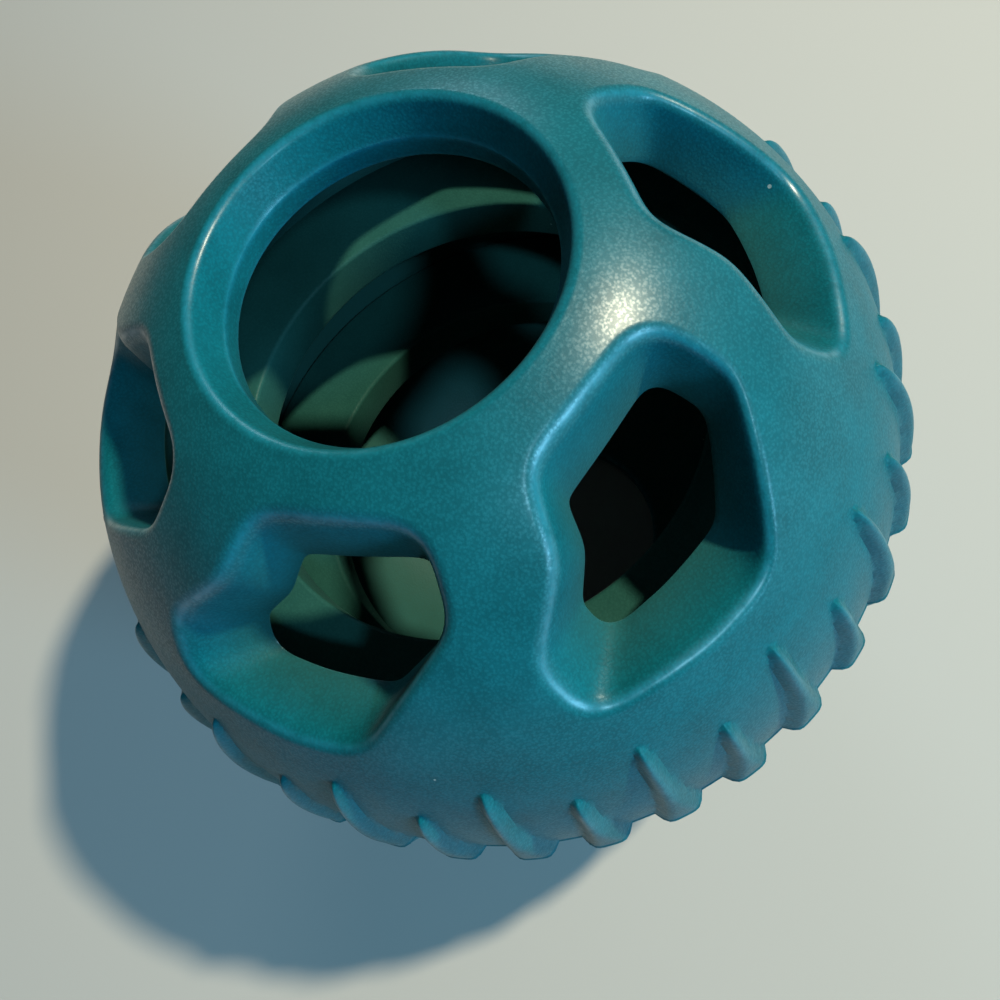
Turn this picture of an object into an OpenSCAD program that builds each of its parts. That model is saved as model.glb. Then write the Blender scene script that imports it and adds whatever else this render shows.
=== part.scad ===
// Hollow rubber treat ball: two moulded halves bonded at the equator, a baffle ring seated in each.
// Millimetres. The origin is the ball's centre and +Z points out of the upper mouth.

/* [Ball] */
// Outside diameter of the ball without its fins
ball_d = 108; // [100:1:124]
// Thickness of the rubber wall
wall_t = 8; // [7:0.5:9]

/* [Mouth] */
// Diameter of the mouth at its narrow lip
mouth_d = 35; // [30:1:38]
// Height of the straight land below the lip
mouth_land = 3; // [2:0.5:4]
// Slope of the funnel above the lip, from upright
mouth_slope = 20; // [10:1:30]
// Radius that rolls the funnel into the ball
mouth_round = 3.5; // [3:0.25:4]
// Depth of the flat that the ball stands on
rim_flat = 0.2; // [0.15:0.05:0.3]

/* [Windows] */
// Windows round the upper mouth; the lower half is closed but for its mouth
window_count = 6; // [4:1:6]
// Latitude of a window's centre, in degrees
window_lat = 49; // [48:1:50]
// Width of a window across its slant
window_w = 33; // [29:1:35]
// Height of a window up the ball
window_h = 25.5; // [23:0.5:27]
// Radius that rolls a window's wall into the ball
window_round = 2.5; // [1.5:0.25:3]

/* [Fins] */
// Fins round the equator, long and short by turns
fin_count = 36; // [30:6:36]
// Height of a fin above the ball
fin_h = 2; // [1:0.25:3]
// Width of a fin at the equator
fin_w = 6; // [4:0.5:7]
// Length of a long fin from tip to tip
long_fin_len = 54; // [46:1:56]
// Length of a short fin from tip to tip
short_fin_len = 46; // [36:1:50]

/* [Baffles] */
// Width of a baffle ring, from the wall to the hole
baffle_w = 13; // [9:0.5:18]
// Thickness of a baffle ring
baffle_t = 7; // [4:0.5:9]
// Height of a baffle's outer face above the equator
baffle_z = 16.5; // [13:0.5:18]
// Width of the shoulder that stops a baffle
baffle_seat = 1.2; // [0.8:0.1:2]
// Bevel on a baffle's edges
baffle_bevel = 0.6; // [0.3:0.1:1]

/* [Seam] */
// Width of the locating tongue
tongue_w = 2; // [1.5:0.25:3]
// Height of the locating tongue
tongue_h = 1.5; // [1:0.25:2.5]
// Room for the bond round a tongue or a baffle
bond_gap = 0.15; // [0.1:0.05:0.25]

/* [Hidden] */
shell_colour = [0.27, 0.52, 0.56];
baffle_colour = [0.22, 0.44, 0.48];
// One overrun for every cut, and how deep the fins root in the wall
overrun = 2;
roll_lift = 0.2;
fin_root = 1;
ball_r = ball_d / 2;
cavity_r = ball_r - wall_t;
mouth_r = mouth_d / 2;
$fn = 96;

// Corners of a window's outer edge: across, up and rounding, as shares of its width and height
outer_shares = [
    [-0.57, -0.42, 0.13], [-0.12, -0.51, 0.30], [0.14, -0.50, 0.22], [0.455, 0.17, 0.20],
    [0.37, 0.53, 0.16], [-0.15, 0.475, 0.16], [-0.28, 0.16, 0.25], [-0.55, -0.09, 0.18]
];
// The same corners where the window opens into the cavity
inner_shares = [
    [-0.36, -0.39, 0.10], [-0.09, -0.405, 0.15], [0.20, -0.395, 0.13], [0.455, 0.01, 0.13],
    [0.38, 0.31, 0.12], [-0.135, 0.22, 0.06], [-0.20, 0.01, 0.20], [-0.35, -0.175, 0.10]
];
// Steps round each corner and down the rolled edge
corner_steps = 4;
roll_steps = 3;
mouth_steps = 10;
// Section of a fin: across and up, as shares of its half width and height
fin_shares = [[-0.45, 0.7], [0, 1], [0.45, 0.7]];
fin_steps = 5;
// How far a fin's root runs past its tip, and its width there, as shares
fin_reach_share = 1.05;
fin_tip_share = 0.1;

function unit(v) = v / norm(v);
function mix(a, b, share) = a * (1 - share) + b * share;
function middle(ring) = [for (p = ring) 1] * ring / len(ring);

// Arc that rounds the corner at b between its neighbours a and c, moved outwards by grow
function corner_arc(a, b, c, r, grow) =
    let (to_a = unit(a - b), to_c = unit(c - b),
         half = acos(to_a * to_c) / 2,
         centre = b + unit(to_a + to_c) * r / sin(half),
         from = b + to_a * r / tan(half) - centre,
         to = b + to_c * r / tan(half) - centre,
         start = atan2(from.y, from.x),
         turn = (atan2(to.y, to.x) - start + 540) % 360 - 180)
    [for (k = [0 : corner_steps])
        let (angle = start + turn * k / corner_steps)
        centre + (r + sign(turn) * grow) * [cos(angle), sin(angle)]];

// Window outline on the plane that touches the ball at the window's centre
function outline(shares, grow = 0) =
    let (n = len(shares),
         corners = [for (s = shares) [s.x * window_w, s.y * window_h]])
    [for (i = [0 : n - 1])
        each corner_arc(corners[(i + n - 1) % n], corners[i], corners[(i + 1) % n],
                        shares[i].z * window_h, grow)];

// A point of that plane, carried towards the ball's centre to a depth below its surface
function on_ball(p, depth) =
    (ball_r - depth) * unit([p.x,
                             p.y * sin(window_lat) - ball_r * cos(window_lat),
                             p.y * cos(window_lat) + ball_r * sin(window_lat)]);

// Ring of a window's wall at a depth, flared by grow
function window_ring(depth, grow) =
    let (outer = outline(outer_shares, grow), inner = outline(inner_shares))
    [for (i = [0 : len(outer) - 1]) on_ball(mix(outer[i], inner[i], depth / wall_t), depth)];

// Solid through a stack of rings of equal length, closed by a point beyond each end
module loft(rings, first_tip, last_tip) {
    n = len(rings[0]);
    last = len(rings) - 1;
    points = concat([for (ring = rings) each ring], [first_tip, last_tip]);
    sides = [for (j = [0 : last - 1], i = [0 : n - 1])
        let (a = j * n + i, b = j * n + (i + 1) % n)
        each [[a, a + n, b], [b, a + n, b + n]]];
    ends = [for (i = [0 : n - 1])
        each [[i, (i + 1) % n, (last + 1) * n],
              [last * n + (i + 1) % n, last * n + i, (last + 1) * n + 1]]];
    polyhedron(points, concat(sides, ends), convexity = 6);
}

// Cutter for one window: through the wall, up the rolled edge and out past the ball
module window_cutter() {
    rolled = [for (k = [0 : roll_steps - 1])
        let (angle = 90 * k / roll_steps)
        window_ring(window_round * (1 - sin(angle)), window_round * (1 - cos(angle)))];
    rings = concat([window_ring(wall_t + overrun, 0)], rolled,
                   [window_ring(-roll_lift, window_round), window_ring(-overrun, window_round)]);
    loft(rings, on_ball([0, 0], wall_t + overrun), on_ball([0, 0], -overrun));
}

module windows() {
    for (k = [0 : window_count - 1])
        rotate([0, 0, k * 360 / window_count]) window_cutter();
}

// Upper half of one fin, with its length in degrees of latitude
module half_fin(reach) {
    start = -asin(fin_root / ball_r);
    stations = [for (k = [0 : fin_steps]) mix(start, reach * fin_reach_share, k / fin_steps)];
    rings = [for (lat = stations)
        let (swell = 1 - pow(lat / reach, 2),
             section = concat([[-1, -fin_root]],
                              [for (s = fin_shares) [s.x, s.y * swell * fin_h]],
                              [[1, -fin_root]]))
        [for (p = section)
            let (out = ball_r + p.y)
            [out * cos(lat), p.x * max(swell, fin_tip_share) * fin_w / 2, out * sin(lat)]]];
    loft(rings, middle(rings[0]), middle(rings[fin_steps]));
}

module fins() {
    degrees_per_mm = 180 / (PI * ball_r);
    for (k = [0 : fin_count - 1])
        rotate([0, 0, 90 + k * 360 / fin_count])
            half_fin((k % 2 == 0 ? long_fin_len : short_fin_len) / 2 * degrees_per_mm);
}

// Mouth in section, with its funnel rolled into the ball's surface
lip = [mouth_r, sqrt(pow(cavity_r, 2) - pow(mouth_r, 2)) + mouth_land];
funnel_up = [sin(mouth_slope), cos(mouth_slope)];
funnel_side = [cos(mouth_slope), -sin(mouth_slope)];
roll_base = lip + funnel_side * mouth_round;
roll_run = sqrt(pow(roll_base * funnel_up, 2) - roll_base * roll_base + pow(ball_r - mouth_round, 2))
    - roll_base * funnel_up;
roll_centre = roll_base + funnel_up * roll_run;
roll_end = atan2(roll_centre.y, roll_centre.x);
rim_z = roll_centre.y + mouth_round - rim_flat;

module mouth_section() {
    roll = [for (k = [0 : mouth_steps])
        let (angle = mix(180 - mouth_slope, roll_end, k / mouth_steps))
        roll_centre + mouth_round * [cos(angle), sin(angle)]];
    polygon(concat([[0, 0], [mouth_r, 0], lip], roll,
                   [[roll_centre.x + mouth_round, ball_r + overrun], [0, ball_r + overrun]]));
}

// Ring about the axis, from a pair of radii and a pair of heights
module ring(inner_r, outer_r, low, high) {
    rotate_extrude() translate([inner_r, low]) square([outer_r - inner_r, high - low]);
}

tongue_r = ball_r - wall_t / 2 - tongue_w / 2;
baffle_r = sqrt(pow(cavity_r, 2) - pow(baffle_z, 2)) + baffle_seat - bond_gap;

// Upper half of the wall in section, a little past the equator
module wall_section() {
    difference() {
        circle(ball_r);
        circle(cavity_r);
        translate([-2 * ball_r, -ball_r]) square(2 * ball_r);
        translate([-ball_r, -ball_r - overrun]) square([2 * ball_r, ball_r]);
        square([baffle_r + bond_gap, baffle_z + bond_gap]);
        mouth_section();
        translate([0, rim_z]) square(ball_r);
    }
}

module half_shell() {
    difference() {
        union() {
            rotate_extrude() wall_section();
            fins();
        }
        translate([0, 0, -ball_r]) cylinder(h = ball_r, r = ball_r + fin_h + overrun);
    }
}

module upper_shell() {
    color(shell_colour) difference() {
        half_shell();
        windows();
        ring(tongue_r - bond_gap, tongue_r + tongue_w + bond_gap, -overrun, tongue_h + bond_gap);
    }
}

module lower_shell() {
    color(shell_colour) {
        rotate([180, 0, 0]) half_shell();
        ring(tongue_r, tongue_r + tongue_w, -overrun, tongue_h);
    }
}

module baffle() {
    hole_r = baffle_r - baffle_w;
    low = baffle_z - baffle_t;
    rotate_extrude() polygon([
        [hole_r, low + baffle_bevel], [hole_r + baffle_bevel, low],
        [baffle_r - baffle_bevel, low], [baffle_r, low + baffle_bevel],
        [baffle_r, baffle_z - baffle_bevel], [baffle_r - baffle_bevel, baffle_z],
        [hole_r + baffle_bevel, baffle_z], [hole_r, baffle_z - baffle_bevel]
    ]);
}

module upper_baffle() {
    color(baffle_colour) baffle();
}

module lower_baffle() {
    color(baffle_colour) rotate([180, 0, 0]) baffle();
}

upper_shell();
lower_shell();
upper_baffle();
lower_baffle();
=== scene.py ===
import math
import bpy
import numpy as np
from mathutils import Matrix, Vector


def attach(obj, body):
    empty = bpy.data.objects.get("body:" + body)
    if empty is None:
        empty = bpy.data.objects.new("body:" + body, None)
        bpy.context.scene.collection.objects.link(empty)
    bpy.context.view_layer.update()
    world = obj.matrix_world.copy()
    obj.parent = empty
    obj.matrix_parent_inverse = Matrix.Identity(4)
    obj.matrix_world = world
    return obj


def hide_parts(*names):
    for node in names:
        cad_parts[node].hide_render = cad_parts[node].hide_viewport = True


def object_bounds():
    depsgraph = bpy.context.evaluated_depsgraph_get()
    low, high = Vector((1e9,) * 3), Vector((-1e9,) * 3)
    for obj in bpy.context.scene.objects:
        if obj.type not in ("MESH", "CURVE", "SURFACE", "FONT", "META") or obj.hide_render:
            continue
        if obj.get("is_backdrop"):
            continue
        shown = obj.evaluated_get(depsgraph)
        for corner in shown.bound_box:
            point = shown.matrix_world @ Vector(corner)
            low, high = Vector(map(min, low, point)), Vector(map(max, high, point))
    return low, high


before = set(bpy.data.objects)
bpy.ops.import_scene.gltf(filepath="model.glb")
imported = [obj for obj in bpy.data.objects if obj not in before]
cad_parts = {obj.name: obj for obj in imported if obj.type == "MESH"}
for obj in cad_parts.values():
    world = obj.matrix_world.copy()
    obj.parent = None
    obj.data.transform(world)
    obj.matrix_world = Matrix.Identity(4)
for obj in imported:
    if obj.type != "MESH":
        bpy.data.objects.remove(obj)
cadLow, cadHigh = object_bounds()
print("frame loaded")

# the moulding, in metres and degrees of latitude
moulding = {
    "ballRadius": 0.054,
    "wall": 0.008,
    "windowCount": 6,
    "windowLatitude": 46.8,
    "windowWidth": 0.0342,
    "windowHeight": 0.0276,
    "windowRound": 0.0014,
    "mouthOuter": 0.0202,       # radius of the mouth's outer edge
    "mouthInner": 0.0182,       # and of its lip, from where a land drops into the cavity
    "mouthLand": 0.0028,
    "mouthLipRound": 0.0007,
    "mouthRound": 0.0012,
    "rimHeight": cadHigh.z,
    "sinkStart": 56.0,          # latitude from which the ball flattens towards the rim
    "lipSoftness": 0.0003,      # fillet on the inner edges
    "baffleTop": 0.0165,
    "baffleShoulder": 0.0012,
    "bondGap": 0.00015,
}
# corners of a window's outer and inner edges: across, up and rounding, as shares of its width and height
outerCorners = [
    (-0.57, -0.42, 0.13), (-0.12, -0.51, 0.30), (0.14, -0.50, 0.22), (0.455, 0.17, 0.20),
    (0.37, 0.53, 0.16), (-0.15, 0.475, 0.16), (-0.28, 0.16, 0.25), (-0.55, -0.09, 0.18)]
innerCorners = [
    (-0.36, -0.39, 0.10), (-0.09, -0.405, 0.15), (0.20, -0.395, 0.13), (0.455, 0.01, 0.13),
    (0.38, 0.31, 0.12), (-0.135, 0.22, 0.06), (-0.20, 0.01, 0.20), (-0.35, -0.175, 0.10)]

# how finely one window's sector of the moulding is meshed
sector = {
    "lowLatitude": 28.3,        # top of the fin band
    "highLatitude": 65.0,       # foot of the mouth's roll
    "lowStart": -35.0,          # azimuth of the sector's left edge, low and high
    "highStart": -25.0,
    "finColumns": 108,
    "finCrowding": 1.5,         # how closely the columns crowd towards a fin's crest
    "mouthColumns": 48,
    "sideSteps": 28,
    "webRings": 11,
    "webCrowding": 1.15,
    "webPasses": 160,
    "rollRings": 9,
    "wallRings": 9,
    "insideRings": 6,
    "closedRings": 19,          # up the lower half, which has no windows
    "footRings": 5,             # from the seam to the baffle's shoulder
    "cavityRings": 6,           # and from the shoulder to the top of the band
    "collarRings": 4,
    "mouthRoundSteps": 14,
    "lipSteps": 5,
    "mouthEdgeSteps": 4,
    "outlinePoints": 640,
    "cornerSteps": 24,
    "outlineSoftness": 8.5,
    "insideAtEdge": 0.6,        # how much of the inside's colour, with its painted warm sheen, reaches a window's inner edge
}
# latitudes of the fin band's rings, close where the fins' heads end and at the seam
bandLatitudes = np.concatenate((
    (27.3, 26.3), np.linspace(25.6, 22.2, 13), np.linspace(21.4, 19.6, 3), np.linspace(19.1, 15.9, 12),
    np.linspace(15.0, 2.0, 16), (1.5, 1.05, 0.7, 0.45, 0.28, 0.14, 0.0)))
# azimuth of a sector's left edge, up the slanted web between two windows
slantLatitudes = (28.3, 34.5, 39.5, 45.8, 52.0, 58.5, 65.0)
slantAzimuths = (-35.0, -38.0, -36.5, -30.0, -25.5, -24.0, -25.0)

ballRadius = moulding["ballRadius"]
cavityRadius = ballRadius - moulding["wall"]
seatRadius = math.sqrt(cavityRadius ** 2 - moulding["baffleTop"] ** 2) + moulding["baffleShoulder"]
sectorSpan = 360 / moulding["windowCount"]
windowTilt = math.radians(moulding["windowLatitude"])
windowAxis = np.array((0.0, -math.cos(windowTilt), math.sin(windowTilt)))
windowRight = np.array((1.0, 0.0, 0.0))
windowUp = np.array((0.0, math.sin(windowTilt), math.cos(windowTilt)))
probe = 0.004       # any length along an edge, where only its direction counts


def cornerArc(before, corner, after, radius, steps):
    toBefore = (before - corner) / np.linalg.norm(before - corner)
    toAfter = (after - corner) / np.linalg.norm(after - corner)
    half = math.acos(float(toBefore @ toAfter)) / 2
    middle = toBefore + toAfter
    centre = corner + middle / np.linalg.norm(middle) * radius / math.sin(half)
    first = corner + toBefore * radius / math.tan(half) - centre
    last = corner + toAfter * radius / math.tan(half) - centre
    start = math.atan2(first[1], first[0])
    turn = (math.atan2(last[1], last[0]) - start + 3 * math.pi) % math.tau - math.pi
    angles = start + turn * np.linspace(0, 1, steps)
    return centre + radius * np.stack((np.cos(angles), np.sin(angles)), 1)


def windowOutline(corners):
    steps = sector["cornerSteps"]
    size = np.array((moulding["windowWidth"], moulding["windowHeight"]))
    places = [np.array(c[:2]) * size for c in corners]
    count = len(places)
    arcs = [cornerArc(places[i - 1], places[i], places[(i + 1) % count], corners[i][2] * size[1], steps)
            for i in range(count)]
    share = np.linspace(0, 1, steps + 2)[1:-1, None]
    points = []
    for i in range(count):
        points.append(arcs[i])
        points.append(arcs[i][-1] * (1 - share) + arcs[(i + 1) % count][0] * share)
    return np.concatenate(points)


def softened(points, width):
    reach = int(width * 4)      # past four widths the bell curve is as good as zero
    weights = np.exp(-0.5 * (np.arange(-reach, reach + 1) / width) ** 2)
    weights /= weights.sum()
    return sum(w * np.roll(points, -k, 0) for k, w in zip(range(-reach, reach + 1), weights))


# length along a closed ring at each of its points, and back at the first
def lengthAlong(ring):
    closed = np.concatenate((ring, ring[:1]))
    return np.concatenate(((0,), np.cumsum(np.linalg.norm(np.diff(closed, axis=0), axis=1))))


# points of a closed ring at places between its own
def sampled(ring, places):
    closed = np.concatenate((ring, ring[:1]))
    return np.stack([np.interp(places, np.arange(len(closed)), closed[:, k]) for k in (0, 1)], 1)


def evenlySpaced(ring, partner, count):
    along = lengthAlong(ring)
    wanted = np.linspace(0, along[-1], count, endpoint=False)
    places = np.interp(wanted, along, np.arange(len(along)))
    return sampled(ring, places), sampled(partner, places)


def outwardSides(ring):
    tangent = np.roll(ring, -1, 0) - np.roll(ring, 1, 0)
    tangent /= np.linalg.norm(tangent, axis=1)[:, None]
    return np.stack((tangent[:, 1], -tangent[:, 0]), 1)


def direction(latitude, azimuth):
    lat, az = np.radians(latitude), np.radians(azimuth)
    return np.stack((np.cos(lat) * np.sin(az), -np.cos(lat) * np.cos(az), np.sin(lat) + 0 * az), -1)


# the chart is the plane that touches the ball at a window's centre
def toChart(rays):
    scaled = rays * (ballRadius / (rays @ windowAxis))[:, None]
    return np.stack((scaled @ windowRight, scaled @ windowUp), 1)


def fromChart(points, radius):
    rays = ballRadius * windowAxis + points[:, :1] * windowRight + points[:, 1:] * windowUp
    return rays / np.linalg.norm(rays, axis=1)[:, None] * radius


# the mouth in section: the corner where the ball meets the funnel is lifted until its fillet just reaches the rim
def mouthSection():
    m = moulding
    edge = np.array((m["mouthInner"], math.sqrt(cavityRadius ** 2 - m["mouthInner"] ** 2)))
    lip = edge + np.array((0.0, m["mouthLand"]))
    corner = np.array((m["mouthOuter"], m["rimHeight"]))
    for _ in range(20):
        downBall = np.array((corner[1], -corner[0])) / np.linalg.norm(corner)
        arc = cornerArc(corner + downBall * probe, corner, lip, m["mouthRound"], sector["mouthRoundSteps"])
        corner[1] += m["rimHeight"] - arc[:, 1].max()
    return arc, lip, edge


mouthArc, mouthLip, mouthEdge = mouthSection()
mouthFoot = math.degrees(math.atan2(mouthArc[0][1], mouthArc[0][0]))       # latitude where the fillet begins


def sinkDepth(latitude):
    share = (np.asarray(latitude) - moulding["sinkStart"]) / (mouthFoot - moulding["sinkStart"])
    return (ballRadius - np.linalg.norm(mouthArc[0])) * np.clip(share, 0, 1) ** 2


# a mesh under construction: rings of points, the faces between them, and three masks a point
def newParts():
    return {"verts": [], "faces": [], "masks": []}


def join(parts, a, b, closed=False):
    for i in range(len(a) if closed else len(a) - 1):
        k = (i + 1) % len(a)
        parts["faces"].append((a[i], a[k], b[k], b[i]))


# adds a ring, with faces to the previous one where there is one
def addRing(parts, points, previous=None, closed=False, flip=False, fin=0.0, crest=0.0, inside=0.0):
    start = sum(len(v) for v in parts["verts"])
    ring = np.arange(start, start + len(points))
    parts["verts"].append(np.asarray(points, float))
    parts["masks"].append(np.tile((fin, crest, inside), (len(points), 1)))
    if previous is not None and flip:
        join(parts, ring, previous, closed)
    elif previous is not None:
        join(parts, previous, ring, closed)
    return ring


# the fin band's columns crowd towards the crest of each fin
def bandAzimuths():
    fins = ribs["Fin Count"] // moulding["windowCount"]
    pitch = 360 / ribs["Fin Count"]
    share = np.linspace(-1, 1, sector["finColumns"] // fins + 1)
    aside = pitch / 2 * np.sign(share) * np.abs(share) ** sector["finCrowding"]
    first = sector["lowStart"] + pitch / 2
    columns = [first + pitch * k + aside[:-1] for k in range(fins)]
    return np.concatenate(columns + [[sector["lowStart"] + sectorSpan]])


# fin band outside, seam face, and the cavity's foot with the baffle's shoulder
def bandRings(parts, outsideRing, insideRing, azimuths):
    ring = outsideRing
    for lat in bandLatitudes:
        ring = addRing(parts, direction(lat, azimuths) * ballRadius, ring, flip=True, fin=1.0)
    seatTop = moulding["baffleTop"] + moulding["bondGap"]
    seatFoot = math.sqrt(cavityRadius ** 2 - seatRadius ** 2)
    foot = np.linspace(0, math.asin(seatFoot / cavityRadius), sector["footRings"])
    above = np.linspace(math.asin(seatTop / cavityRadius), math.radians(sector["lowLatitude"]), sector["cavityRings"])
    profile = [(cavityRadius * math.cos(a), cavityRadius * math.sin(a)) for a in foot]
    profile += [(seatRadius, seatTop), (math.sqrt(cavityRadius ** 2 - seatTop ** 2), seatTop)]
    profile += [(cavityRadius * math.cos(a), cavityRadius * math.sin(a)) for a in above[1:-1]]
    around = direction(0.0, azimuths)
    for radius, height in profile:
        ring = addRing(parts, around * radius + np.array((0, 0, height)), ring, flip=True, inside=1.0)
    join(parts, insideRing, ring)


# mouth: roll, funnel, softened lip, land and the edge into the cavity, as radius, height and crest mask
def mouthRings(parts, outsideRing, insideRing, azimuths):
    def straight(first, last, shares):
        return [(*(first * (1 - t) + last * t), 0.0) for t in shares]

    curve = []
    for lat in np.linspace(sector["highLatitude"], mouthFoot, sector["collarRings"])[1:-1]:
        radius, angle = ballRadius - sinkDepth(lat), math.radians(lat)
        curve.append((radius * math.cos(angle), radius * math.sin(angle), 0.0))
    curve += [(*point, math.sin(math.pi * (k + 0.5) / len(mouthArc))) for k, point in enumerate(mouthArc)]
    alongCavity = np.array((mouthEdge[1], -mouthEdge[0])) / cavityRadius
    rolledLip = cornerArc(mouthArc[-1], mouthLip, mouthEdge, moulding["mouthLipRound"], sector["lipSteps"])
    softEdge = cornerArc(rolledLip[-1], mouthEdge, mouthEdge + alongCavity * probe,
                         moulding["lipSoftness"], sector["mouthEdgeSteps"])
    curve += straight(mouthArc[-1], rolledLip[0], (0.25, 0.5, 0.75))
    curve += [(*point, 1.0) for point in rolledLip]
    curve += straight(rolledLip[-1], softEdge[0], (0.33, 0.67))
    curve += [(*point, 1.0) for point in softEdge]
    around = direction(0.0, azimuths)
    ring = outsideRing
    for radius, height, crest in curve:
        ring = addRing(parts, around * radius + np.array((0, 0, height)), ring, crest=crest)
    join(parts, ring, insideRing)


def finishedMesh(parts, name):
    mesh = bpy.data.meshes.new(name)
    faces = [tuple(int(i) for i in face) for face in parts["faces"]]
    mesh.from_pydata(np.concatenate(parts["verts"]).tolist(), [], faces)
    for k, label in enumerate(("fin", "crest", "inside")):
        layer = mesh.attributes.new(label, "FLOAT", "POINT")
        layer.data.foreach_set("value", np.concatenate(parts["masks"])[:, k].astype(np.float32))
    return mesh


# both outlines of a window, and the ways out from them, where they pair with the points of the
# sector's edge: half by direction, half by length
def pairedOutlines(edge):
    count = sector["outlinePoints"]
    outer, inner = [softened(ring, sector["outlineSoftness"]) for ring in
                    evenlySpaced(windowOutline(outerCorners), windowOutline(innerCorners), count)]
    edgeAngle, outAngle = [np.unwrap(np.arctan2(ring[:, 1], ring[:, 0])) for ring in (edge, outer)]
    outAngle = np.maximum.accumulate(outAngle)
    shift = round((edgeAngle[0] - outAngle[0]) / math.tau) * math.tau
    table = np.concatenate((outAngle - math.tau, outAngle, outAngle + math.tau)) + shift
    byAngle = np.interp(edgeAngle, table, np.arange(-count, 2 * count))
    along = lengthAlong(edge)
    byLength = along[:-1] / along[-1] * count
    byLength += np.mean(byAngle - byLength)
    places = (0.5 * byAngle + 0.5 * byLength) % count
    return [sampled(ring, places) for ring in (outer, inner, outwardSides(outer), outwardSides(inner))]


# rings from a window's outline out to the sector's edge, relaxed until they lie evenly
def web(first, edge, rings):
    shares = np.linspace(0, 1, rings + 1) ** sector["webCrowding"]
    grid = np.stack([first * (1 - t) + edge * t for t in shares])
    for _ in range(sector["webPasses"]):
        around = grid[:-2] + grid[2:] + np.roll(grid, 1, 1)[1:-1] + np.roll(grid, -1, 1)[1:-1]
        grid[1:-1] += 0.5 * (around / 4 - grid[1:-1])
    return grid


# one sector of the upper moulding: a window, its share of the mouth and of the fin band
def windowSixth():
    s, m, parts = sector, moulding, newParts()
    lowAz = bandAzimuths()
    highAz = np.linspace(s["highStart"], s["highStart"] + sectorSpan, s["mouthColumns"] + 1)
    sideLat = np.linspace(s["lowLatitude"], s["highLatitude"], s["sideSteps"] + 1)
    sideAz = np.interp(sideLat, slantLatitudes, slantAzimuths)
    low, high = toChart(direction(s["lowLatitude"], lowAz)), toChart(direction(s["highLatitude"], highAz))
    left, right = toChart(direction(sideLat, sideAz)), toChart(direction(sideLat, sideAz + sectorSpan))
    edge = np.concatenate((low[:-1], right[:-1], high[::-1][:-1], left[::-1][:-1]))     # runs anticlockwise
    outer, inner, sides, innerSides = pairedOutlines(edge)

    def lofted(depth, grow=0.0):
        share = depth / m["wall"]
        return fromChart((outer + sides * grow) * (1 - share) + inner * share, ballRadius - depth)

    # outer skin, from the sector's edge in to the window
    ring = outsideEdge = None
    for points in web(outer + sides * m["windowRound"], edge, s["webRings"])[::-1]:
        rays = fromChart(points, 1.0)
        sink = sinkDepth(np.degrees(np.arcsin(rays[:, 2])))
        ring = addRing(parts, rays * (ballRadius - sink)[:, None], ring, closed=True)
        outsideEdge = ring if outsideEdge is None else outsideEdge
    # over the rolled edge and down the wall
    for k in range(1, s["rollRings"] + 1):
        angle = math.pi / 2 * (1 - k / s["rollRings"])
        points = lofted(m["windowRound"] * (1 - math.sin(angle)), m["windowRound"] * (1 - math.cos(angle)))
        sink = sinkDepth(np.degrees(np.arcsin(points[:, 2] / np.linalg.norm(points, axis=1))))
        points *= (1 - sink / ballRadius)[:, None]
        ring = addRing(parts, points, ring, closed=True, crest=math.sin(math.pi * k / s["rollRings"]) ** 2)
    soft = m["lipSoftness"]
    for k in range(1, s["wallRings"] + 1):
        depth = m["windowRound"] + (m["wall"] - soft - m["windowRound"]) * k / s["wallRings"]
        ring = addRing(parts, lofted(depth), ring, closed=True, inside=s["insideAtEdge"] * k / s["wallRings"])
    # round the inner edge and over the cavity, back to the sector's edge
    for turn in (0.5, 1.0):
        lift, grow = soft * (1 - math.sin(math.pi / 2 * turn)), soft * (1 - math.cos(math.pi / 2 * turn))
        ring = addRing(parts, fromChart(inner + innerSides * grow, cavityRadius + lift), ring, closed=True,
                       crest=1.0, inside=s["insideAtEdge"] + (1 - s["insideAtEdge"]) * turn)
    for points in web(inner + innerSides * soft, edge, s["insideRings"])[1:]:
        ring = addRing(parts, fromChart(points, cavityRadius), ring, closed=True, inside=1.0)

    lowPart = slice(0, s["finColumns"] + 1)
    highFirst = s["finColumns"] + s["sideSteps"]
    highPart = slice(highFirst, highFirst + s["mouthColumns"] + 1)
    bandRings(parts, outsideEdge[lowPart], ring[lowPart], lowAz)
    mouthRings(parts, outsideEdge[highPart][::-1], ring[highPart][::-1], highAz)
    return finishedMesh(parts, "windowSixth")


# one sector of the lower moulding, which has the mouth but no windows
def closedSixth():
    parts, azimuths = newParts(), bandAzimuths()
    lats = np.linspace(sector["lowLatitude"], sector["highLatitude"], sector["closedRings"])
    outside = [addRing(parts, direction(lat, azimuths) * (ballRadius - sinkDepth(lat))) for lat in lats]
    inside = [addRing(parts, direction(lat, azimuths) * cavityRadius, inside=1.0) for lat in lats]
    for j in range(len(lats) - 1):
        join(parts, outside[j], outside[j + 1])
        join(parts, inside[j + 1], inside[j])
    bandRings(parts, outside[0], inside[0], azimuths)
    mouthRings(parts, outside[-1], inside[-1], azimuths)
    return finishedMesh(parts, "closedSixth")


# adds a node to a tree, with its inputs linked or set, and its settings
def nodeSet(tree):
    def add(kind, inputs=(), **settings):
        node = tree.nodes.new(kind)
        for key, value in settings.items():
            setattr(node, key, value)
        for key, value in dict(inputs).items():
            if isinstance(value, bpy.types.NodeSocket):
                tree.links.new(value, node.inputs[key])
            else:
                node.inputs[key].default_value = value
        return node
    return add


def mathNode(add):
    def calc(operation, *values):
        return add("ShaderNodeMath", dict(enumerate(values)), operation=operation).outputs[0]
    return calc


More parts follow.
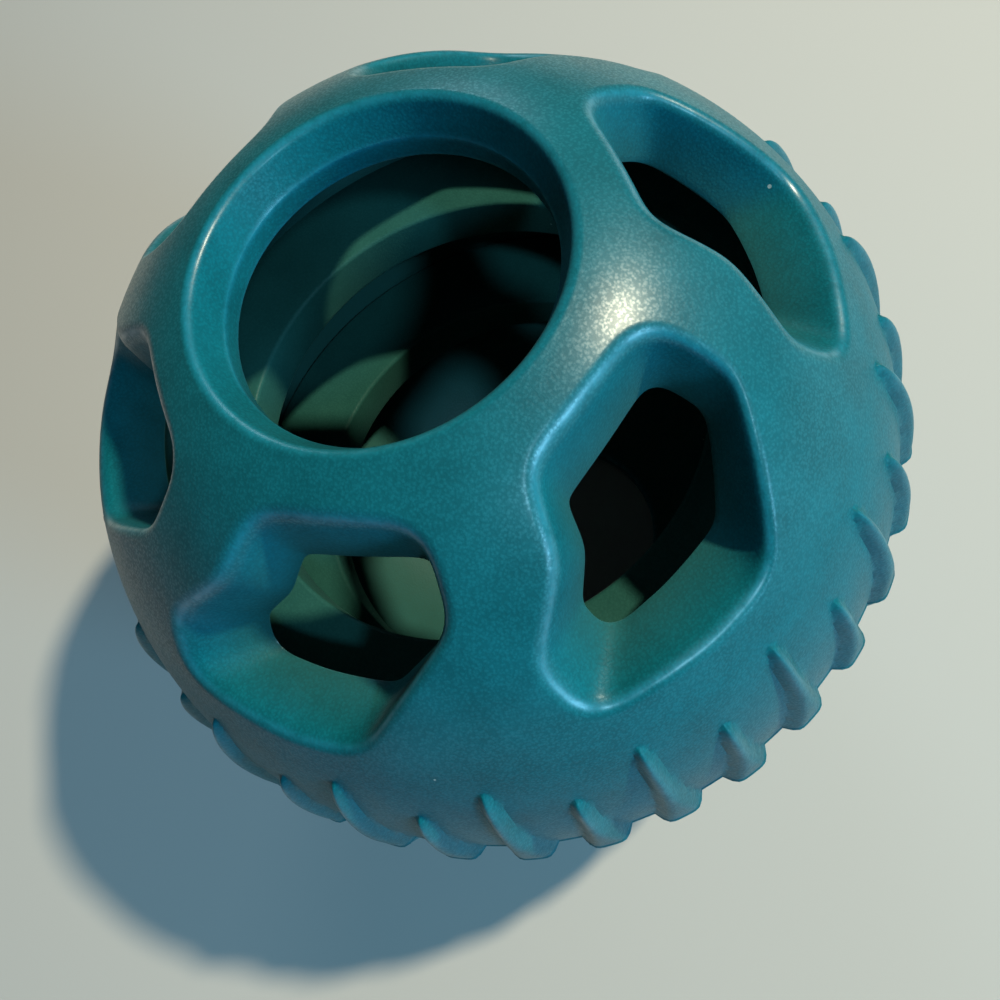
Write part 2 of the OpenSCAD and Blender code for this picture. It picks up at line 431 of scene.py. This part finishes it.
# a Geometry Nodes tree with an input for each value: whole numbers, sizes, and None for a material
def newTree(name, values):
    kinds = {int: "NodeSocketInt", float: "NodeSocketFloat", type(None): "NodeSocketMaterial"}
    tree = bpy.data.node_groups.new(name, "GeometryNodeTree")
    tree.interface.new_socket("Geometry", in_out="INPUT", socket_type="NodeSocketGeometry")
    for label, value in values.items():
        socket = tree.interface.new_socket(label, in_out="INPUT", socket_type=kinds[type(value)])
        if value is not None:
            socket.default_value = value
    tree.interface.new_socket("Geometry", in_out="OUTPUT", socket_type="NodeSocketGeometry")
    return tree


ribs = {
    "Fin Count": 36,
    "Fin Height": 0.00175,
    "Fin Width": 0.0065,        # at the equator
    "Head Width": 0.0027,
    "Fin Flare": 2.8,           # how late a fin widens towards the equator
    "Foot Blend": 1.5,          # how softly its sides run into the ball
    "Crest Flatness": 3.0,      # how flat its crest grows at the equator
    "Fin Droop": 0.25,          # height lost from the equator to the head
    "Head Bluntness": 9.0,
    "Long Fin": 0.0465,
    "Short Fin": 0.0355,
    "Flash Height": 0.00018,
    "Flash Width": 0.0003,
}


# repeats a sector round the axis, raises the fins and the seam's flash, and turns the lower half over
def mouldingTree():
    tree = newTree("mouldingNodes", {
        "Window Count": moulding["windowCount"], **ribs, "Merge Distance": 2e-6, "Turn Over": 0.0, "Rubber": None})
    add = nodeSet(tree)
    calc = mathNode(add)
    given = add("NodeGroupInput").outputs

    step = calc("DIVIDE", math.tau, given["Window Count"])
    places = add("GeometryNodeMeshLine", {"Count": given["Window Count"], "Offset": (0.0, 0.0, 0.0)}).outputs["Mesh"]
    turn = add("ShaderNodeCombineXYZ", {"Z": calc("MULTIPLY", add("GeometryNodeInputIndex").outputs[0], step)})
    sixths = add("GeometryNodeInstanceOnPoints", {
        "Points": places, "Instance": given["Geometry"], "Rotation": turn.outputs[0]}).outputs[0]
    whole = add("GeometryNodeRealizeInstances", {"Geometry": sixths}).outputs[0]
    whole = add("GeometryNodeMergeByDistance", {
        "Geometry": whole, "Distance": given["Merge Distance"]}).outputs[0]

    # the nearest fin, long or short by turns
    place = add("GeometryNodeInputPosition").outputs[0]
    split = add("ShaderNodeSeparateXYZ", {0: place}).outputs
    azimuth = calc("ARCTAN2", split[0], calc("MULTIPLY", split[1], -1.0))
    pitch = calc("DIVIDE", math.tau, given["Fin Count"])
    number = calc("ROUND", calc("DIVIDE", azimuth, pitch))
    aside = calc("ABSOLUTE", calc("SUBTRACT", azimuth, calc("MULTIPLY", number, pitch)))
    short = calc("PINGPONG", number, 1.0)
    far = add("ShaderNodeVectorMath", {0: place}, operation="LENGTH").outputs["Value"]
    latitude = calc("ARCSINE", calc("DIVIDE", split[2], far))
    length = add("ShaderNodeMix", {"Factor": short, "A": given["Long Fin"], "B": given["Short Fin"]}).outputs[0]
    reach = calc("DIVIDE", length, calc("MULTIPLY", far, 2.0))

    # its height here, from the place along it and across it
    along = calc("MINIMUM", calc("DIVIDE", calc("ABSOLUTE", latitude), reach), 1.0)
    head = calc("SQRT", calc("SUBTRACT", 1.0, calc("POWER", along, given["Head Bluntness"])))
    flare = calc("POWER", calc("SUBTRACT", 1.0, along), given["Fin Flare"])
    spread = calc("MULTIPLY", calc("SUBTRACT", given["Fin Width"], given["Head Width"]), flare)
    halfWidth = calc("MULTIPLY", calc("MULTIPLY", calc("ADD", given["Head Width"], spread), head), 0.5)
    across = calc("MULTIPLY", calc("MULTIPLY", aside, far), calc("COSINE", latitude))
    aslant = calc("MINIMUM", calc("DIVIDE", across, calc("MAXIMUM", halfWidth, 1e-5)), 1.0)
    squareness = calc("ADD", 2.0, calc("MULTIPLY", given["Crest Flatness"], flare))
    bell = calc("POWER", calc("SUBTRACT", 1.0, calc("POWER", aslant, squareness)), given["Foot Blend"])
    low = calc("SUBTRACT", 1.0, calc("MULTIPLY", along, given["Fin Droop"]))
    swell = calc("MULTIPLY", bell, calc("MULTIPLY", low, head))
    fin = calc("MULTIPLY", swell, given["Fin Height"])

    near = calc("DIVIDE", calc("ABSOLUTE", split[2]), given["Flash Width"])
    bulge = calc("MAXIMUM", calc("SUBTRACT", 1.0, calc("POWER", near, 2.0)), 0.0)
    flash = calc("MULTIPLY", bulge, given["Flash Height"])
    mask = add("GeometryNodeInputNamedAttribute", {"Name": "fin"}, data_type="FLOAT").outputs["Attribute"]
    lift = calc("MULTIPLY", calc("ADD", fin, flash), mask)
    outward = add("ShaderNodeVectorMath", {0: place}, operation="NORMALIZE").outputs[0]
    shift = add("ShaderNodeVectorMath", {0: outward, "Scale": lift}, operation="SCALE").outputs[0]
    # a fin's crest, strongest towards its head: it leads the worn colour, the painted highlight and the polish onto
    # the fins
    tipped = calc("MULTIPLY", calc("MULTIPLY", bell, calc("MULTIPLY", head, along)), mask)
    whole = add("GeometryNodeStoreNamedAttribute", {"Geometry": whole, "Name": "ridge", "Value": tipped},
                data_type="FLOAT", domain="POINT").outputs[0]
    whole = add("GeometryNodeSetPosition", {"Geometry": whole, "Offset": shift}).outputs[0]
    over = add("ShaderNodeCombineXYZ", {"X": given["Turn Over"]}).outputs[0]
    whole = add("GeometryNodeTransform", {"Geometry": whole, "Rotation": over}).outputs[0]
    whole = add("GeometryNodeRealizeInstances", {"Geometry": whole}).outputs[0]
    whole = add("GeometryNodeSetMaterial", {"Geometry": whole, "Material": given["Rubber"]}).outputs[0]
    add("NodeGroupOutput", {0: whole})
    return tree


baffle = {
    "Hole Radius": 0.031,
    "Outer Radius": seatRadius - moulding["bondGap"],
    "Low": 0.0095,
    "High": moulding["baffleTop"],
    "Edge Round": 0.0006,
    "Round Steps": 5,
    "Ring Steps": 192,
}


def baffleTree():
    tree = newTree("baffleNodes", {**baffle, "Rubber": None})
    add = nodeSet(tree)
    calc = mathNode(add)
    given = add("NodeGroupInput").outputs
    middle = calc("MULTIPLY", calc("ADD", given["Hole Radius"], given["Outer Radius"]), 0.5)
    path = add("GeometryNodeCurvePrimitiveCircle", {
        "Resolution": given["Ring Steps"], "Radius": middle}).outputs["Curve"]
    outline = add("GeometryNodeCurvePrimitiveQuadrilateral", {
        "Width": calc("SUBTRACT", given["Outer Radius"], given["Hole Radius"]),
        "Height": calc("SUBTRACT", given["High"], given["Low"])}, mode="RECTANGLE").outputs[0]
    outline = add("GeometryNodeFilletCurve", {
        "Curve": outline, "Radius": given["Edge Round"], "Count": given["Round Steps"]}, mode="POLY").outputs[0]
    solid = add("GeometryNodeCurveToMesh", {"Curve": path, "Profile Curve": outline}).outputs[0]
    lift = calc("MULTIPLY", calc("ADD", given["High"], given["Low"]), 0.5)
    lifted = add("ShaderNodeCombineXYZ", {"Z": lift}).outputs[0]
    solid = add("GeometryNodeTransform", {"Geometry": solid, "Translation": lifted}).outputs[0]
    solid = add("GeometryNodeRealizeInstances", {"Geometry": solid}).outputs[0]
    solid = add("GeometryNodeSetMaterial", {"Geometry": solid, "Material": given["Rubber"]}).outputs[0]
    add("NodeGroupOutput", {0: solid})
    return tree


# runs a tree on a mesh with its inputs set, and keeps the result as a plain piece
def grown(name, mesh, tree, values):
    source = bpy.data.objects.new(name + "Source", mesh)
    bpy.context.collection.objects.link(source)
    modifier = source.modifiers.new("grow", "NODES")
    modifier.node_group = tree
    for item in tree.interface.items_tree:
        if item.in_out == "INPUT" and item.name in values:
            modifier[item.identifier] = values[item.name]
    source.update_tag()
    ready = source.evaluated_get(bpy.context.evaluated_depsgraph_get())
    result = bpy.data.meshes.new_from_object(ready)
    result.name = name
    result.set_sharp_from_angle(angle=math.radians(40))
    bpy.data.objects.remove(source)
    piece = bpy.data.objects.new(name, result)
    bpy.context.collection.objects.link(piece)
    print(name, len(result.polygons), "faces")
    return piece


def shaderGroup(name, inputs, outputs):
    group = bpy.data.node_groups.new(name, "ShaderNodeTree")
    for label, value in inputs:
        group.interface.new_socket(label, in_out="INPUT", socket_type="NodeSocketFloat").default_value = value
    for label in outputs:
        group.interface.new_socket(label, in_out="OUTPUT", socket_type="NodeSocketFloat")
    return group


def stretch(add, value, low, high, newLow=0.0, newHigh=1.0):
    return add("ShaderNodeMapRange", {"Value": value, "From Min": low, "From Max": high,
                                      "To Min": newLow, "To Max": newHigh}).outputs[0]


skin = {
    "fineShare": 0.6,           # of fine noise in a pebble, the rest being round cells
    "cellScale": 0.7,
    "waveScale": 2.5,
    "mottleRange": (0.32, 0.68),
    "lintSizes": (0.010, 0.030),        # as shares of the lint's spacing
    "bareShare": 0.45,          # of the places where lint could lie
    "scuffTurn": (0.6, 0.3, 0.9),
    "scuffStretch": (1.0, 9.0, 9.0),
    "scuffRange": (0.62, 0.8),
}


# the skin that a spark-eroded mould leaves: fine pebbles, soft mottling, lint and fine scuffs
def mouldedSkin():
    group = shaderGroup("mouldedSkin", [("Pebble Size", 0.0003), ("Mottle Size", 0.006),
                                        ("Lint Spacing", 0.004), ("Scuff Size", 0.003)],
                        ("Pebble", "Wave", "Mottle", "Lint", "Scuff"))
    add = nodeSet(group)
    calc = mathNode(add)
    given = add("NodeGroupInput").outputs
    place = add("ShaderNodeTexCoord").outputs["Object"]

    def perMetre(label):
        return calc("DIVIDE", 1.0, given[label])

    def noise(vector, scale, **settings):
        return add("ShaderNodeTexNoise", {"Vector": vector, "Scale": scale, **settings}).outputs["Fac"]

    fine = noise(place, perMetre("Pebble Size"), Detail=2.0, Roughness=0.6)
    cells = add("ShaderNodeTexVoronoi", {
        "Vector": place, "Scale": calc("MULTIPLY", perMetre("Pebble Size"), skin["cellScale"])}).outputs["Distance"]
    rounded = calc("MULTIPLY", calc("SUBTRACT", 1.0, cells), 1.0 - skin["fineShare"])
    pebble = calc("ADD", calc("MULTIPLY", fine, skin["fineShare"]), rounded)
    wave = noise(place, calc("MULTIPLY", perMetre("Mottle Size"), skin["waveScale"]), Detail=2.0)
    mottle = noise(place, perMetre("Mottle Size"), Detail=5.0, Roughness=0.6)
    spots = add("ShaderNodeTexVoronoi", {"Vector": place, "Scale": perMetre("Lint Spacing")}).outputs
    chance = add("ShaderNodeSeparateColor", {"Color": spots["Color"]}).outputs
    size = stretch(add, chance[1], 0.0, 1.0, *skin["lintSizes"])
    lint = calc("MULTIPLY", calc("LESS_THAN", spots["Distance"], size),
                calc("GREATER_THAN", chance[0], skin["bareShare"]))
    drawn = add("ShaderNodeMapping", {
        "Vector": place, "Rotation": skin["scuffTurn"], "Scale": skin["scuffStretch"]}).outputs[0]
    scuff = noise(drawn, perMetre("Scuff Size"), Detail=4.0, Roughness=0.7)
    add("NodeGroupOutput", {0: pebble, 1: wave, 2: stretch(add, mottle, *skin["mottleRange"]), 3: lint,
                            4: stretch(add, scuff, *skin["scuffRange"])})
    return group


wearAndHighlight = {
    "crestPower": 3.0,          # how tightly the worn colour and painted highlight keep to a rolled edge
    "ridgePower": 2.5,          # and to a fin's crest
    "breakup": (0.15, 0.55),
}


# the rolled edges and the fins' crests, broken up by noise: where the rubber is worn, and where a painted highlight
# lightens its colour
def edgeWearAndHighlight():
    group = shaderGroup("edgeWearAndHighlight", [("Crest", 0.0), ("Ridge", 0.0), ("Breakup Size", 0.0015)], ("Rubbed And Highlight",))
    add = nodeSet(group)
    calc = mathNode(add)
    given = add("NodeGroupInput").outputs
    place = add("ShaderNodeTexCoord").outputs["Object"]
    broken = add("ShaderNodeTexNoise", {
        "Vector": place, "Scale": calc("DIVIDE", 1.0, given["Breakup Size"]), "Detail": 4.0}).outputs["Fac"]
    edge = calc("MAXIMUM", calc("POWER", given["Crest"], wearAndHighlight["crestPower"]),
                calc("POWER", given["Ridge"], wearAndHighlight["ridgePower"]))
    add("NodeGroupOutput", {0: calc("MULTIPLY", edge, stretch(add, broken, *wearAndHighlight["breakup"]))})
    return group


skinGroup, wearAndHighlightGroup = mouldedSkin(), edgeWearAndHighlight()


def rubber(name, look):
    material = bpy.data.materials.new(name)
    material.use_nodes = True
    tree = material.node_tree
    add = nodeSet(tree)
    calc = mathNode(add)
    shader = tree.nodes["Principled BSDF"]
    skinNode = add("ShaderNodeGroup", node_tree=skinGroup)
    wearAndHighlightNode = add("ShaderNodeGroup", node_tree=wearAndHighlightGroup)
    for label in ("Pebble Size", "Mottle Size", "Lint Spacing", "Scuff Size"):
        skinNode.inputs[label].default_value = look[label]
    for label, source in (("Crest", "crest"), ("Ridge", "ridge")):
        tree.links.new(add("ShaderNodeAttribute", attribute_name=source).outputs["Fac"], wearAndHighlightNode.inputs[label])
    inside = add("ShaderNodeAttribute", attribute_name="inside").outputs["Fac"]
    pebble, wave, mottle, lint, scuff = skinNode.outputs
    rubbedAndHighlight = wearAndHighlightNode.outputs["Rubbed And Highlight"]

    # of a Mix node, inputs 6 and 7 and output 2 are its colours
    def blend(factor, first, second):
        node = add("ShaderNodeMix", data_type="RGBA")
        for key, value in ((0, factor), (6, first), (7, second)):
            if isinstance(value, bpy.types.NodeSocket):
                tree.links.new(value, node.inputs[key])
            else:
                node.inputs[key].default_value = (*value, 1)
        return node.outputs[2]

    grain = calc("MULTIPLY", stretch(add, pebble, *look["grainRange"]), look["grain"])
    tone = calc("ADD", calc("MULTIPLY", mottle, 1.0 - look["grain"]), grain)
    colour = blend(tone, look["deep"], look["body"])
    # lighter, bluer colour along the rolled edges and the fins' crests: partly worn rubber, partly a painted
    # highlight
    colour = blend(calc("MULTIPLY", rubbedAndHighlight, look["rubAndHighlightShare"]), colour, look["rubbedAndHighlight"])
    colour = blend(calc("MULTIPLY", scuff, look["scuff"]), colour, look["rubbedAndHighlight"])
    # darker, greener colour over the inside, fading in down a window's walls: the green is a painted warm sheen of
    # the key light
    colour = blend(calc("MULTIPLY", inside, look["inner"]), colour, look["innerPaintedSheen"])
    colour = blend(calc("MULTIPLY", lint, look["lint"]), colour, look["lintColour"])
    tree.links.new(colour, shader.inputs["Base Color"])

    rough = calc("ADD", look["roughness"], calc("MULTIPLY", mottle, look["mottleHaze"]))
    rough = calc("SUBTRACT", rough, calc("MULTIPLY", pebble, look["glint"]))
    rough = calc("SUBTRACT", rough, calc("MULTIPLY", rubbedAndHighlight, look["rubGloss"]))
    tree.links.new(rough, shader.inputs["Roughness"])
    bump = add("ShaderNodeBump", {"Height": wave, "Strength": 0.5, "Distance": look["waveDepth"]}).outputs[0]
    bump = add("ShaderNodeBump", {"Height": pebble, "Strength": 1.0, "Distance": look["pebbleDepth"],
                                  "Normal": bump}).outputs[0]
    tree.links.new(bump, shader.inputs["Normal"])

    # polish on the outside of the crown and on the rubbed edges
    place = add("ShaderNodeTexCoord").outputs["Object"]
    height = add("ShaderNodeSeparateXYZ", {"Vector": place}).outputs["Z"]
    far = add("ShaderNodeVectorMath", {0: place}, operation="LENGTH").outputs["Value"]
    outside = stretch(add, far, *look["outsideRadii"])
    crown = stretch(add, calc("ABSOLUTE", height), *look["crownHeights"], 0.0, look["crownPolish"])
    tops = stretch(add, pebble, *look["topRange"], look["hollowPolish"], 1.0)
    crown = calc("MULTIPLY", calc("MULTIPLY", crown, outside), calc("MULTIPLY", tops, calc("SUBTRACT", 1.0, inside)))
    worn = calc("MAXIMUM", crown, calc("MULTIPLY", rubbedAndHighlight, look["polish"]))
    tree.links.new(worn, shader.inputs["Coat Weight"])
    for label, key in (("Coat Roughness", "polishRoughness"), ("Specular IOR Level", "specular"),
                       ("Sheen Weight", "sheen"), ("Sheen Roughness", "sheenRoughness")):
        shader.inputs[label].default_value = look[key]
    return material


shellLook = {
    "deep": (0.0014, 0.078, 0.098),
    "body": (0.0032, 0.134, 0.170),
    "grain": 0.5,               # share of the pebbles in the change from deep to body colour
    "grainRange": (0.42, 0.64),
    # lighter and bluer: the colour of worn rubber and of the painted highlight on rolled edges, also used for the
    # scuffs
    "rubbedAndHighlight": (0.014, 0.260, 0.380),
    "rubAndHighlightShare": 0.30,
    "rubGloss": 0.08,
    "scuff": 0.06,
    "innerPaintedSheen": (0.030, 0.092, 0.070),     # darker and greener inside, the green a painted warm sheen of the key light
    "inner": 0.75,
    "lint": 0.8,
    "lintColour": (0.42, 0.46, 0.42),
    "roughness": 0.54,
    "mottleHaze": 0.05,
    "glint": 0.28,              # how much smoother the pebbles' tops are
    "specular": 0.10,
    "polish": 1.0,              # gloss of the rolled edges, and of the crown that hands and paws rub
    "crownPolish": 0.9,
    "crownHeights": (0.024, 0.042),     # where the crown's polish begins and is full, up or down the ball
    "outsideRadii": (0.0522, 0.0536),
    "topRange": (0.46, 0.64),   # only the pebbles' tops are fully polished
    "hollowPolish": 0.45,
    "polishRoughness": 0.30,
    "sheen": 0.02,
    "sheenRoughness": 0.45,
    "Pebble Size": 0.00026,
    "Mottle Size": 0.007,
    "Lint Spacing": 0.008,
    "Scuff Size": 0.004,
    "pebbleDepth": 0.00004,
    "waveDepth": 0.00005,
}
# the baffle takes the inside's darker, greener colour: a painted warm sheen of the key light
baffleLook = {**shellLook, "deep": (0.014, 0.074, 0.064), "body": (0.022, 0.100, 0.085), "lint": 0.4}
shellRubber = rubber("shellRubber", shellLook)
baffleRubber = rubber("baffleRubber", baffleLook)
print("materials ready")

sixths = {"upper": windowSixth(), "lower": closedSixth()}
shellTree = mouldingTree()
shells = {}
for name, over in (("upper", 0.0), ("lower", math.pi)):
    shells[name] = grown(name + "Shell", sixths[name], shellTree, {**ribs, "Turn Over": over, "Rubber": shellRubber})
bafflesTree = baffleTree()
baffles = {}
for name, side in (("upper", 1), ("lower", -1)):
    empty = bpy.data.meshes.new("bafflePath")
    low, high = sorted((side * baffle["Low"], side * baffle["High"]))
    baffles[name] = grown(name + "Baffle", empty, bafflesTree,
                          {**baffle, "Low": low, "High": high, "Rubber": baffleRubber})

for name in ("upper", "lower"):
    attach(shells[name], "root")
    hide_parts(name + "_shell")
    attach(baffles[name], "root")
    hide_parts(name + "_baffle")
print("pieces ready")

ground = {
    "reach": 1.5,
    "colour": (0.50, 0.488, 0.475),
    "roughness": 0.8,
}
floorMesh = bpy.data.meshes.new("floor")
floorMesh.from_pydata([(x * ground["reach"], y * ground["reach"], cadLow.z)
                       for x, y in ((-1, -1), (1, -1), (1, 1), (-1, 1))], [], [(0, 1, 2, 3)])
floor = bpy.data.objects.new("floor", floorMesh)
bpy.context.collection.objects.link(floor)
floorMaterial = bpy.data.materials.new("paleFloor")
floorMaterial.use_nodes = True
floorShader = floorMaterial.node_tree.nodes["Principled BSDF"]
floorShader.inputs["Base Color"].default_value = (*ground["colour"], 1)
floorShader.inputs["Roughness"].default_value = ground["roughness"]
floorMesh.materials.append(floorMaterial)
floor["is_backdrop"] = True
print("floor ready")

view = {
    "distance": 0.13463,
    "azimuth": -14.12,
    "elevation": 62.67,
    "roll": -33.83,
    "focalPixels": 915.8,
    "ballAt": (498.7, 451.8),   # the ball's centre in the picture, in pixels
    "imageSize": 1000,
    "sensor": 36.0,
    "clipStart": 0.005,
}


def unitVector(v):
    return v / np.linalg.norm(v)


def placeCamera():
    v = view
    az, el, roll = (math.radians(v[k]) for k in ("azimuth", "elevation", "roll"))
    back = np.array((math.sin(az) * math.cos(el), -math.cos(az) * math.cos(el), math.sin(el)))
    right = unitVector(np.cross((0.0, 0.0, 1.0), back))
    up = np.cross(back, right)
    rolledRight = math.cos(roll) * right + math.sin(roll) * up
    rolledUp = -math.sin(roll) * right + math.cos(roll) * up
    # swing the axes until the ball's centre lies at its place in the picture
    half = v["imageSize"] / 2
    across, down = [(place - half) / v["focalPixels"] for place in v["ballAt"]]
    aim = unitVector(np.array((across, -down, 1.0)))
    swing = np.array(Vector(aim).rotation_difference(Vector((0, 0, 1))).to_matrix())
    axes = swing.T @ np.stack((rolledRight, rolledUp, -back))
    camera = bpy.data.objects.new("camera", bpy.data.cameras.new("camera"))
    camera.data.lens = v["focalPixels"] / v["imageSize"] * v["sensor"]
    camera.data.sensor_width = v["sensor"]
    camera.data.clip_start = v["clipStart"]
    matrix = Matrix.Identity(4)
    for k, axis in enumerate((axes[0], axes[1], -axes[2], back * v["distance"])):
        for i in range(3):
            matrix[i][k] = axis[i]
    camera.matrix_world = matrix
    bpy.context.collection.objects.link(camera)
    bpy.context.scene.camera = camera


placeCamera()

lights = {
    "key": {"azimuth": 66.0, "elevation": 50.0, "distance": 1.0, "size": 0.06, "power": 11.5,
            "colour": (1.0, 0.90, 0.65)},
    "front": {"azimuth": 0.0, "elevation": 48.0, "distance": 1.2, "size": 0.10, "power": 4.4,
              "colour": (0.36, 0.76, 1.0)},
    "back": {"azimuth": 140.0, "elevation": 26.0, "distance": 1.6, "size": 0.60, "power": 3.5,
             "colour": (0.60, 0.84, 1.0)},
    "window": {"azimuth": 16.0, "elevation": 13.0, "distance": 2.0, "size": 0.60, "power": 29.0,
               "colour": (0.26, 0.68, 1.0)},
}
sky = {"colour": (0.85, 0.93, 1.0), "strength": 0.045}
for name, s in lights.items():
    az, el = math.radians(s["azimuth"]), math.radians(s["elevation"])
    away = Vector((math.sin(az) * math.cos(el), -math.cos(az) * math.cos(el), math.sin(el)))
    lamp = bpy.data.objects.new(name, bpy.data.lights.new(name, "AREA"))
    lamp.data.shape = "DISK"
    lamp.data.size = s["size"]
    lamp.data.energy = s["power"]
    lamp.data.color = s["colour"]
    lamp.location = away * s["distance"]
    lamp.rotation_euler = away.to_track_quat("Z", "Y").to_euler()
    bpy.context.collection.objects.link(lamp)
world = bpy.data.worlds.new("studio")
world.use_nodes = True
background = world.node_tree.nodes["Background"]
background.inputs["Color"].default_value = (*sky["colour"], 1)
background.inputs["Strength"].default_value = sky["strength"]
bpy.context.scene.world = world
bpy.context.scene.view_settings.view_transform = "Standard"
print("camera and lights ready")

low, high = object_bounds()
{"cad": [list(cadLow), list(cadHigh)], "visual": [list(low), list(high)]}
